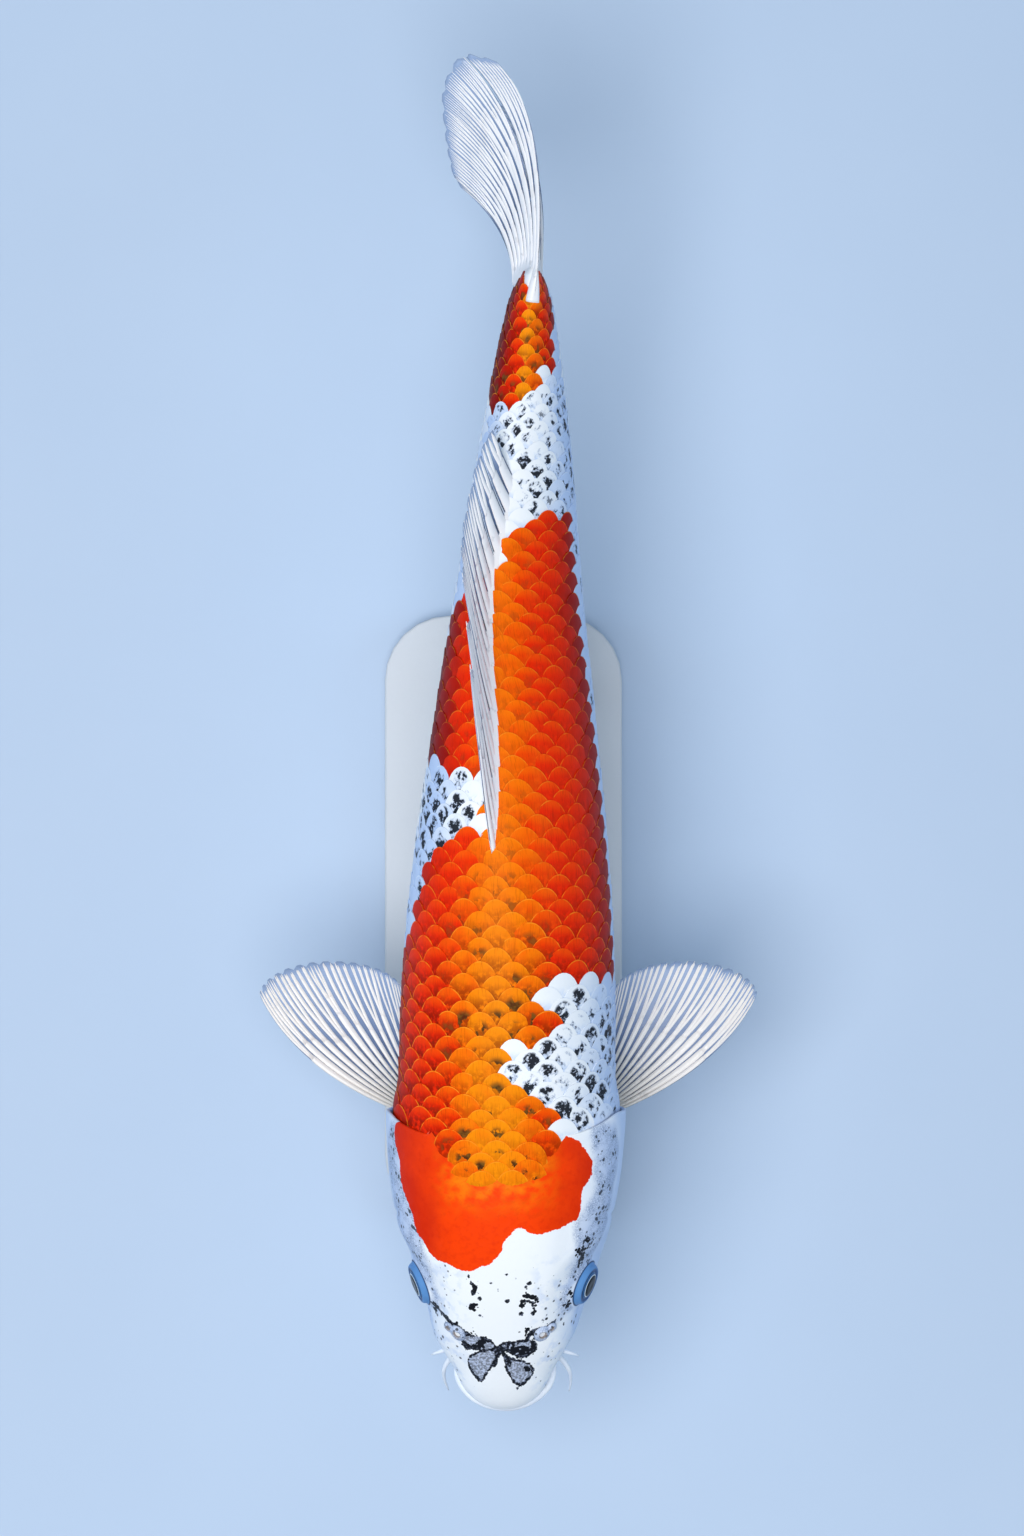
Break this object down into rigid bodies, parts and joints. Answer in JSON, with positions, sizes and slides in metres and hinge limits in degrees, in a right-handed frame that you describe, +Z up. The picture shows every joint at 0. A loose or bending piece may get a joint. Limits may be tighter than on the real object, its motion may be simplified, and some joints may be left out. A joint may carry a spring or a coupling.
{
  "type": "koi carp",
  "caption": "Life-size koi carp gliding with its fins spread and its tail swung aside, held above a plain flat base by short rods under the belly.",
  "frame": {"origin": "middle of the stand base's underside", "axes": "+Z up, the fish's head towards -Y and its tail towards +Y, its own left towards +X"},
  "size_m": [0.2238, 0.5962, 0.2292],
  "materials": {
    "skin": "wet, pearly white fish skin with bluish grey netting and black spots",
    "red_skin": "wet orange-red scales with darker roots and thin bright edges",
    "fin": "milky white rays with thin translucent skin between them",
    "eye": "polished: black pupil in a blue-grey and silver iris",
    "stand": "plain light grey satin paint",
    "steel": "satin steel rod"
  },
  "bodies": {
    "root": {"head": "skin", "upper_lip": "skin", "lower_jaw": "skin", "gill_cover_left": "skin", "gill_cover_right": "skin", "nostril_left": "skin", "nostril_right": "skin", "eye_left": "eye", "eye_right": "eye", "barbel_long_left": "fin", "barbel_long_right": "fin", "barbel_short_left": "fin", "barbel_short_right": "fin", "trunk_front": "red_skin", "trunk_middle": "red_skin", "trunk_rear": "skin", "tail_stalk": "red_skin", "fin_dorsal": "fin", "fin_anal": "fin", "fin_tail_upper": "fin", "fin_tail_lower": "fin", "fin_pectoral_left": "fin", "fin_pectoral_right": "fin", "fin_pelvic_left": "fin", "fin_pelvic_right": "fin", "stand_base": "stand", "stand_rod_front": "steel", "stand_rod_rear": "steel", "stand_pad_front": "stand", "stand_pad_rear": "stand"}
  },
  "joints": []
}
